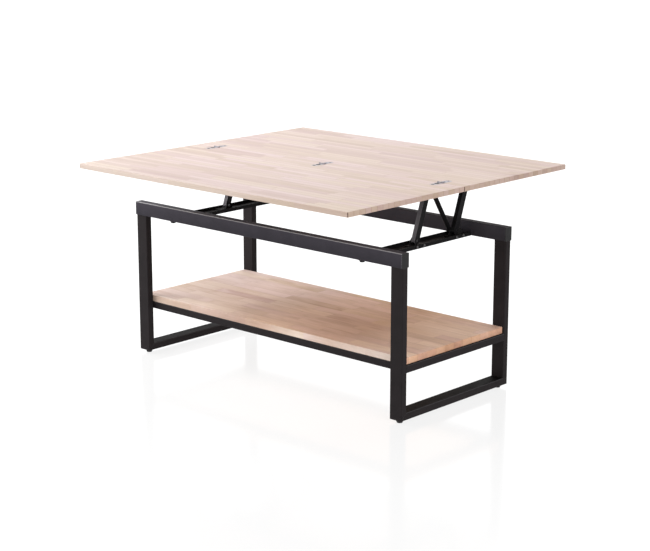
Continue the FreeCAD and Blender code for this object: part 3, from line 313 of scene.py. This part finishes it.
def coated_steel(name, colour, wear_and_highlight, gloss, shine, painted_upper_shade=1.0, painted_flank_light=1.0, painted_crest_highlight=None, fade=None):
    """Powder coat: a fine orange peel, cloudy gloss and rubbed edges, whose lighter colour is partly wear and
    partly a painted highlight.

    Faces that look up and the flanks may take their own share of the colour, which is painted shade or light.
    The rounded top edges may take a lighter colour, a painted highlight, and painted shade may darken the coat
    to a share between two heights.
    """
    g = Graph(name)
    cloud = g.noise(g.place, 22.0, 4.0, 0.6)
    speck = g.noise(g.place, 1400.0, 2.0, 0.5)
    base = g.mix(g.range(cloud, 0.3, 0.7, 0.0, 1.0), colour, brighter(colour, 1.25))
    facing = g.split(g.node("ShaderNodeTexCoord").outputs["Normal"])
    # Painted shade on faces that look up
    if painted_upper_shade != 1.0:
        base = g.mix(g.range(facing[2], *FACE_TURN, 0.0, 1.0), base, grey(painted_upper_shade), "MULTIPLY")
    # Painted light or shade on the flanks
    if painted_flank_light != 1.0:
        sideways = g.math("ABSOLUTE", facing[0])
        base = g.mix(g.range(sideways, *FACE_TURN, 0.0, 1.0), base, grey(painted_flank_light), "MULTIPLY")
    # Painted shade, fading out between two heights
    if fade:
        low, high, share = fade
        base = g.mix(g.range(g.split(g.place)[2], low, high, 1.0, 0.0), base, grey(share), "MULTIPLY")
    # Painted highlight on the rounded top edges
    if painted_crest_highlight:
        above_wall = g.range(facing[2], 0.05, 0.3, 0.0, 1.0)
        below_flat = g.range(facing[2], 0.9, 0.98, 1.0, 0.0)
        base = g.mix(g.math("MULTIPLY", above_wall, below_flat), base, painted_crest_highlight)
    # Rubbed edges, lighter: partly wear, partly a painted highlight
    patchy = g.range(cloud, 0.35, 0.6, 0.35, 1.0)
    rub_and_highlight = g.math("MULTIPLY", g.range(g.edge(EDGE_RUB_AND_HIGHLIGHT), 0.03, 0.30, 0.0, 1.0), patchy)
    base = g.mix(rub_and_highlight, base, wear_and_highlight)
    cloudy = g.range(cloud, 0.25, 0.75, gloss - 0.05, gloss + 0.06)
    rough = g.math("ADD", cloudy, g.math("MULTIPLY", rub_and_highlight, -0.06))
    return g.set(base_color=base, roughness=rough, normal=g.bump(speck, ORANGE_PEEL, 0.6),
                 specular_ior_level=shine)


def plated_steel(name, colour, dull, rough, sinks=(), barrel_top=None):
    """Plated steel, brushed along Y, with darker handling marks and near-black painted shade round the given
    sinks.

    A hinge's barrel, whose top is at a given height, gets painted shade on its sides too, and less of it along
    its top.
    """
    g = Graph(name)
    brush = g.noise(g.scaled(g.place, BRUSH_GRAIN), 1.0, 2.0)
    marks = g.noise(g.place, 160.0, 3.0, 0.6)
    base = g.mix(g.range(marks, 0.35, 0.75, 0.0, 0.6), colour, dull)
    painted_shade = 0.0
    # Painted shade round each sink
    for place, reach in sinks:
        away = g.node("ShaderNodeVectorMath", operation="DISTANCE")
        g.feed(away.inputs[0], g.place)
        away.inputs[1].default_value = place
        dark = g.range(away.outputs["Value"], SHADE_CORE * reach, SHADE_GONE * reach, 0.97, 0.0)
        painted_shade = g.math("MAXIMUM", painted_shade, dark)
    # Painted shade on the barrel's sides, less of it along its top
    if barrel_top:
        _, y, z = g.split(g.place)
        barrel = g.range(g.math("ABSOLUTE", y), BARREL_EDGE, BARREL_GONE, 1.0, 0.0)
        barrel_shade = g.range(z, barrel_top - CREST_LOW, barrel_top - CREST_HIGH, 0.55, 0.36)
        painted_shade = g.math("MAXIMUM", painted_shade, g.math("MULTIPLY", barrel, barrel_shade))
    metal = 1.0
    # Where shade is painted, the plating is not metallic
    if sinks or barrel_top:
        base = g.mix(painted_shade, base, PAINTED_SHADE_COLOUR)
        metal = g.math("SUBTRACT", 1.0, painted_shade)
    brushed = g.range(brush, 0.3, 0.7, rough - 0.07, rough + 0.08)
    gloss = g.math("ADD", brushed, g.math("MULTIPLY", marks, 0.06))
    return g.set(base_color=base, metallic=metal, roughness=gloss, normal=g.bump(brush, BRUSH_RELIEF, 0.4),
                 specular_ior_level=0.0)


def moulded(name, colour, rough, grain):
    """Moulded plastic or rubber with a fine spark-eroded texture."""
    g = Graph(name)
    texture = g.noise(g.place, 2200.0, 3.0, 0.6)
    cloud = g.noise(g.place, 60.0, 3.0)
    base = g.mix(cloud, colour, brighter(colour, 1.5))
    return g.set(base_color=base, roughness=g.range(cloud, 0.3, 0.7, rough - 0.06, rough + 0.06),
                 normal=g.bump(texture, grain, 0.7), specular_ior_level=0.25)


def felt(name, colour):
    """Felt with a fluffy nap."""
    g = Graph(name)
    fluff = g.noise(g.place, 2500.0, 5.0, 0.7, 1.0)
    base = g.mix(fluff, colour, brighter(colour, 2.2))
    return g.set(base_color=base, roughness=0.95, normal=g.bump(fluff, FELT_RELIEF, 0.9))


# Looks of the boards: ramps run from dark to pale, from left to right or from front to back
TOP_LOOK = {
    "tones": [(0.20, (0.407, 0.303, 0.283)), (0.50, (0.540, 0.435, 0.419)), (0.80, (0.614, 0.518, 0.513))],
    "tone_share": 0.24, "band_share": 0.40, "fibre_share": 0.26, "cloud_share": 0.10,
    "straw": (1.0, 1.03, 0.92), "pore_depth": 0.12,
    "joint": (0.58, 0.45, 0.38), "joint_depth": 0.75,
    "end_grain": (0.90, 0.82, 0.77), "seam_shade_and_dark_corners": (0.10, 0.055, 0.038), "shine": 0.08,
    # Painted light on the long edges, changing from end to end
    "long_edge": [(0.1, (1.24, 1.25, 1.20)), (0.6, (1.26, 1.25, 1.23)),
                  (0.75, (1.12, 1.08, 1.0)), (1.0, (1.1, 1.05, 0.98))],
    "sides": (-leaf_high[1], leaf_high[1]),
    # Painted shade, a little, towards the front and towards the ends
    "painted_light_across": [(0.0, (0.97, 0.97, 0.97)), (0.5, (1.0, 1.0, 1.0))],
    "painted_light_along": [(0.0, (0.97, 0.97, 0.97)), (0.6, (1.0, 1.0, 1.0)), (1.0, (1.0, 0.99, 0.96))],
}
SHELF_LOOK = {
    "tones": [(0.26, (0.498, 0.303, 0.220)), (0.50, (0.721, 0.495, 0.394)), (0.74, (0.859, 0.632, 0.539))],
    "tone_share": 0.17, "band_share": 0.31, "fibre_share": 0.16, "cloud_share": 0.36,
    "straw": (1.0, 1.02, 0.90), "pore_depth": 0.18,
    "joint": (0.52, 0.40, 0.33), "joint_depth": 0.60,
    "end_grain": (0.80, 0.68, 0.60), "shine": 0.10,
    # Painted light and shade on the long edges, changing from end to end
    "long_edge": [(0.1, (0.98, 0.91, 0.85)), (0.49, (0.74, 0.72, 0.76)),
                  (0.62, (1.08, 1.32, 1.6)), (0.92, (0.84, 0.98, 1.04))],
    "sides": (shelf_low[1], shelf_high[1]),
    # Painted light and shade: lighter along the front, darker in the middle, lighter at the back, and changing
    # from end to end
    "painted_light_across": [(0.0, (1.2, 1.25, 1.28)), (0.13, (1.05, 1.06, 1.06)),
                    (0.45, (0.95, 0.93, 0.92)), (0.85, (1.06, 1.08, 1.08))],
    "painted_light_along": [(0.08, (0.70, 0.78, 0.90)), (0.36, (0.79, 0.81, 0.865)), (0.50, (0.91, 0.87, 0.84)),
              (0.73, (0.81, 0.70, 0.61)), (0.92, (1.07, 1.05, 1.05))],
}

# Near-black painted shade round the front screws of the hinges, wider round the inner ones
SINK_INNER, SINK_OUTER = 1.05, 0.75  # reach for a head's width
screws_low, screws_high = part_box("front_hinge_screws")
front_screws_middle = (screws_low[1] + screws_high[1]) / 2
front_sinks = []
for low, high in islands("front_hinge_screws"):
    reach = SINK_INNER if low.y > front_screws_middle else SINK_OUTER
    front_sinks.append((((low.x + high.x) / 2, (low.y + high.y) / 2, high.z), reach * (high.x - low.x)))
barrel_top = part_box("front_hinge_plates")[1][2]

# One finish for each slot
MATERIALS = {
    "top_wood": staved_wood("top_wood", TOP_LOOK, stave=0.0233, block=0.25, seed=0.0005,
                            corner=(leaf_high[0], leaf_high[1])),
    "shelf_wood": staved_wood("shelf_wood", SHELF_LOOK, stave=0.0405, block=0.24, seed=3.027),
    # The frame's faces that look up get painted shade, and its rounded top edges a painted highlight
    "frame_steel": coated_steel("frame_steel", (0.0196, 0.0165, 0.0174), wear_and_highlight=(0.070, 0.066, 0.068),
                                gloss=0.58, shine=0.05, painted_upper_shade=0.25, painted_crest_highlight=(0.05, 0.047, 0.05)),
    "mechanism_steel": coated_steel("mechanism_steel", (0.0070, 0.0066, 0.0070), wear_and_highlight=(0.030, 0.030, 0.032),
                                    gloss=0.50, shine=0.05),
    "black_plastic": moulded("black_plastic", (0.009, 0.009, 0.0095), rough=0.52, grain=0.00008),
    "rubber": moulded("rubber", (0.010, 0.010, 0.010), rough=0.78, grain=0.00012),
    "zinc": plated_steel("zinc", (0.17, 0.17, 0.175), dull=(0.09, 0.09, 0.095), rough=0.34),
    "dark_fastener": coated_steel("dark_fastener", (0.010, 0.010, 0.011), wear_and_highlight=(0.060, 0.060, 0.062),
                                  gloss=0.45, shine=0.08),
    # Painted shade on the hinge barrels' sides
    "hinge_steel": plated_steel("rear_hinge_steel", (0.40, 0.38, 0.41), dull=(0.30, 0.285, 0.31), rough=0.40,
                                barrel_top=barrel_top),
    "felt": felt("felt", (0.020, 0.020, 0.021)),
}

# Pieces whose finish differs from that of their slot; the rails, the arms and the front hinge plates are
# lighter or darker copies of their slot's finish, which paint light and shade
rail_low, rail_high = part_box("top_rail_front")
arm_low, arm_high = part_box("front_arm_right")
# Painted light: the front arms are a lighter copy of the mechanism's coat, with painted shade on their flanks
# and towards their top
FRONT_ARM_LIT_STEEL = coated_steel("lit_front_arm_steel", (0.130, 0.125, 0.137), wear_and_highlight=(0.130, 0.130, 0.134), gloss=0.50,
                               shine=0.08, painted_flank_light=0.10, fade=(arm_high[2], arm_low[2], 0.4))
# Painted shade: the rear arms are a darker copy of the mechanism's coat, with their flanks lighter than their
# fronts
REAR_ARM_SHADED_STEEL = coated_steel("shaded_rear_arm_steel", (0.0045, 0.0043, 0.0047), wear_and_highlight=(0.020, 0.020, 0.021),
                              gloss=0.50, shine=0.05, painted_flank_light=2.8)
OWN_FINISH = {
    # Painted light: the front rail is a lighter copy of the frame's coat, with painted shade on its top faces
    # and towards its bottom, and a painted highlight along its rounded top edges
    "top_rail_front": coated_steel("lit_rail_steel", (0.0430, 0.0390, 0.0490), wear_and_highlight=(0.300, 0.295, 0.305),
                                   gloss=0.52, shine=0.06, painted_upper_shade=0.8, painted_crest_highlight=(0.30, 0.295, 0.305),
                                   fade=(rail_low[2], rail_high[2], 0.66)),
    # Painted light: the rear rail is a lighter copy of the frame's coat too, with painted shade on its top
    # faces and towards its bottom
    "top_rail_rear": coated_steel("lit_rear_rail_steel", (0.0360, 0.0330, 0.0400), wear_and_highlight=(0.120, 0.118, 0.122),
                                  gloss=0.52, shine=0.06, painted_upper_shade=0.8, fade=(rail_low[2], rail_high[2], 0.75)),
    "front_arm_left": FRONT_ARM_LIT_STEEL, "front_arm_right": FRONT_ARM_LIT_STEEL,
    "rear_arm_left": REAR_ARM_SHADED_STEEL, "rear_arm_right": REAR_ARM_SHADED_STEEL,
    # Painted light: the front plates are a lighter copy of the hinge steel
    "front_hinge_plates": plated_steel("lit_front_hinge_steel", (0.48, 0.455, 0.47), dull=(0.38, 0.36, 0.375),
                                       rough=0.40, sinks=front_sinks, barrel_top=barrel_top),
    # The hinge screws take the near-black fastener coat, which paints the shade of their recesses
    "front_hinge_screws": MATERIALS["dark_fastener"], "rear_hinge_screws": MATERIALS["dark_fastener"],
}


def set_finish(piece, node):
    piece.data.materials.clear()
    piece.data.materials.append(OWN_FINISH.get(node, MATERIALS[node_slot[node]]))


for name, piece in nodes.items():
    set_finish(piece, name)


# Screws and bolts: turned heads with driver recesses, in place of the plain ones
UP = Vector((0, 0, 1))
SMOOTH_BELOW = math.radians(35.0)
CUTTER_TAPER = 0.45
HINGE_RIM, TRACK_RIM = 0.00012, 0.0001
CROSS_DEPTH, SHELF_CROSS_DEPTH, SOCKET_DEPTH = 0.0011, 0.0012, 0.0016
BOLT_RISE, SHELF_RISE = 0.0030, 0.0025


def turned(profile, segments=40):
    """A solid of revolution about Z from (radius, height) pairs, closed at both ends."""
    mesh = bmesh.new()
    rings = []
    for radius, height in profile:
        ring = []
        for step in range(segments):
            angle = 2 * math.pi * step / segments
            ring.append(mesh.verts.new((radius * math.cos(angle), radius * math.sin(angle), height)))
        rings.append(ring)
    for low, high in zip(rings, rings[1:]):
        for step in range(segments):
            after = (step + 1) % segments
            mesh.faces.new((low[step], low[after], high[after], high[step]))
    mesh.faces.new(rings[0][::-1])
    mesh.faces.new(rings[-1])
    return mesh


def cross_cutter(span, width, depth, top):
    """A tapering cross that cuts a driver recess into a head whose top is at a height."""
    mesh = bmesh.new()
    for turn in (0.0, math.pi / 2):
        made = bmesh.ops.create_cube(mesh, size=1.0)["verts"]
        for vert in made:
            taper = 1.0 if vert.co.z > 0 else CUTTER_TAPER
            vert.co = Vector((vert.co.x * span * taper, vert.co.y * width, top + vert.co.z * 2 * depth))
        bmesh.ops.rotate(mesh, verts=made, cent=(0, 0, 0), matrix=Matrix.Rotation(turn, 3, "Z"))
    return mesh


def hex_cutter(radius, depth, top):
    """A six-sided socket that cuts into a head whose top is at a height."""
    return turned([(radius, top - depth), (radius, top + depth)], segments=6)


def to_object(mesh, name):
    data = bpy.data.meshes.new(name)
    mesh.to_mesh(data)
    mesh.free()
    item = bpy.data.objects.new(name, data)
    bpy.context.scene.collection.objects.link(item)
    return item


def recessed(body, cutter, name):
    """Cut a cutter out of a turned body and return the finished mesh data."""
    item = to_object(body, name)
    tool = to_object(cutter, f"{name}_cutter")
    cut = item.modifiers.new("recess", "BOOLEAN")
    cut.object = tool
    cut.operation = "DIFFERENCE"
    cut.solver = "EXACT"
    cut.use_self = True
    bpy.context.view_layer.update()
    finished = bpy.data.meshes.new_from_object(item.evaluated_get(bpy.context.evaluated_depsgraph_get()))
    for used in (item, tool):
        bpy.data.objects.remove(used)
    return finished


def place_screws(name, data, places, node):
    """Set copies of one screw at each (place, direction) as one piece that stands for a node."""
    mesh = bmesh.new()
    for place, direction in places:
        turn = UP.rotation_difference(direction).to_matrix().to_4x4()
        before = len(mesh.verts)
        mesh.from_mesh(data)
        mesh.verts.ensure_lookup_table()
        for vert in mesh.verts[before:]:
            vert.co = place + (turn @ vert.co)
    piece = to_object(mesh, name)
    set_finish(piece, node)
    piece.data.shade_smooth()
    piece.data.set_sharp_from_angle(angle=SMOOTH_BELOW)
    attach(piece, body_of[node])
    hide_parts(node)


def upright_size(box):
    """Half the head's width, and the length, of an upright screw."""
    low, high = box
    return (high.x - low.x) / 2, high.z - low.z


def upright_spots(boxes, direction, rise=0.0):
    """Where upright screws sit, and their direction; those that point down may have a raised head."""
    spots = []
    for low, high in boxes:
        level = high.z if direction.z > 0 else low.z + rise
        spots.append((Vector(((low.x + high.x) / 2, (low.y + high.y) / 2, level)), direction))
    return spots


for node in ("rear_hinge_screws", "front_hinge_screws"):
    boxes = islands(node)
    head, length = upright_size(boxes[0])
    shank = 0.53 * head
    body = turned([(0.3 * shank, -length), (shank, -0.9 * length), (shank, -0.2 * length),
                   (0.97 * head, -HINGE_RIM), (0.9 * head, 0.0)])
    data = recessed(body, cross_cutter(1.05 * head, 0.28 * head, CROSS_DEPTH, 0.0), node)
    place_screws(f"{node}_driven", data, upright_spots(boxes, UP), node)

boxes = islands("bracket_bolts")
low, high = max(boxes, key=lambda pair: pair[1].x)
head, length = (high.z - low.z) / 2, high.x - low.x
body = turned([(0.60 * head, BOLT_RISE - length), (0.62 * head, 0.0), (0.98 * head, 0.0),
               (head, 0.25 * BOLT_RISE), (0.93 * head, 0.62 * BOLT_RISE), (0.76 * head, 0.9 * BOLT_RISE),
               (0.55 * head, BOLT_RISE)])
data = recessed(body, hex_cutter(0.5 * head, SOCKET_DEPTH, BOLT_RISE), "bracket_bolts")
spots = []
for low, high in boxes:
    side = 1.0 if low.x > 0 else -1.0
    outer = high.x if side > 0 else low.x
    seat = Vector((outer - side * BOLT_RISE, (low.y + high.y) / 2, (low.z + high.z) / 2))
    spots.append((seat, Vector((side, 0, 0))))
place_screws("bracket_bolts_socket", data, spots, "bracket_bolts")

boxes = islands("shelf_screws")
head, length = upright_size(boxes[0])
body = turned([(0.1 * head, SHELF_RISE - length), (0.48 * head, SHELF_RISE - 0.85 * length), (0.48 * head, 0.0),
               (head, 0.0), (head, 0.35 * SHELF_RISE), (0.85 * head, 0.8 * SHELF_RISE),
               (0.55 * head, SHELF_RISE)])
data = recessed(body, cross_cutter(head, 0.26 * head, SHELF_CROSS_DEPTH, SHELF_RISE), "shelf_screws")
place_screws("shelf_screws_driven", data, upright_spots(boxes, -UP, SHELF_RISE), "shelf_screws")

boxes = islands("track_screws")
head, length = upright_size(boxes[0])
body = turned([(0.1 * head, -length), (0.5 * head, -0.85 * length), (0.5 * head, -0.20 * length),
               (0.98 * head, -TRACK_RIM), (0.9 * head, 0.0)])
data = recessed(body, cross_cutter(1.05 * head, 0.28 * head, CROSS_DEPTH, 0.0), "track_screws")
place_screws("track_screws_driven", data, upright_spots(boxes, -UP), "track_screws")


# Studio: a pale floor that glows into a white room, two keys from the left, a fill and an overhead light
FLOOR_HALF = 30.0
FLOOR_GLOW = 0.84
ROOM_PALEST = Vector((-0.68, 0.72, 0.15))  # behind the table's left end
ROOM_LIGHT = {"From Min": -0.1, "From Max": 0.9, "To Min": 0.2, "To Max": 1.106}


def pale_floor():
    mesh = bmesh.new()
    corners = ((-1, -1), (1, -1), (1, 1), (-1, 1))
    mesh.faces.new([mesh.verts.new((x * FLOOR_HALF, y * FLOOR_HALF, 0.0)) for x, y in corners])
    floor = to_object(mesh, "floor")
    g = Graph("pale_floor")
    tone = g.range(g.noise(g.place, 0.7, 2.0), 0.3, 0.7, 0.09, 0.11)
    g.set(base_color=g.join(tone, tone, tone), roughness=0.14, specular_ior_level=0.30)
    g.set(emission_color=(1.0, 1.0, 1.0, 1.0), emission_strength=FLOOR_GLOW)
    floor.data.materials.append(g.material)


def soft_light(name, place, target, size, power):
    data = bpy.data.lights.new(name, "AREA")
    data.shape = "RECTANGLE"
    data.size, data.size_y = size
    data.energy = power
    light = bpy.data.objects.new(name, data)
    light.location = place
    light.rotation_euler = (Vector(target) - Vector(place)).to_track_quat("-Z", "Y").to_euler()
    bpy.context.scene.collection.objects.link(light)


def white_room():
    """A room that lights the table unevenly and looks plain white itself."""
    world = bpy.data.worlds.new("studio")
    world.use_nodes = True
    room = world.node_tree
    toward = room.nodes.new("ShaderNodeVectorMath")
    toward.operation = "DOT_PRODUCT"
    toward.inputs[1].default_value = ROOM_PALEST.normalized()
    room.links.new(room.nodes.new("ShaderNodeTexCoord").outputs["Generated"], toward.inputs[0])
    fade = room.nodes.new("ShaderNodeMapRange")
    fade.interpolation_type = "SMOOTHSTEP"
    for socket, number in ROOM_LIGHT.items():
        fade.inputs[socket].default_value = number
    room.links.new(toward.outputs["Value"], fade.inputs["Value"])
    seen = room.nodes.new("ShaderNodeMix")
    room.links.new(room.nodes.new("ShaderNodeLightPath").outputs["Is Camera Ray"], seen.inputs["Factor"])
    room.links.new(fade.outputs["Result"], seen.inputs["A"])
    seen.inputs["B"].default_value = 1.0
    room.links.new(seen.outputs["Result"], room.nodes["Background"].inputs["Strength"])
    room.nodes["Background"].inputs["Color"].default_value = (1.0, 1.0, 1.0, 1.0)
    bpy.context.scene.world = world


pale_floor()
soft_light("key", (-2.8, -0.6, 2.6), (0, 0, 0.5), (2.4, 2.2), 142.0)
soft_light("low_key", (-2.6, -2.6, 1.2), (0, 0, 0.4), (2.4, 1.4), 70.0)
soft_light("fill", (3.4, -0.8, 1.8), (0, 0, 0.4), (2.0, 2.0), 61.0)
soft_light("overhead", (-0.4, 0.6, 3.4), (0, 0, 0.5), (3.2, 2.4), 29.0)
white_room()
bpy.context.scene.view_settings.view_transform = "Standard"

level = math.cos(ELEVATION)
forward = Vector((-math.sin(AZIMUTH) * level, math.cos(AZIMUTH) * level, -math.sin(ELEVATION)))
camera_data = bpy.data.cameras.new("camera")
camera_data.lens = LENS_MM
camera_data.sensor_width = SENSOR_MM
camera_data.dof.use_dof = False
camera = bpy.data.objects.new("camera", camera_data)
camera.location = AIM - DISTANCE * forward
camera.rotation_euler = forward.to_track_quat("-Z", "Y").to_euler()
bpy.context.scene.collection.objects.link(camera)
bpy.context.scene.camera = camera
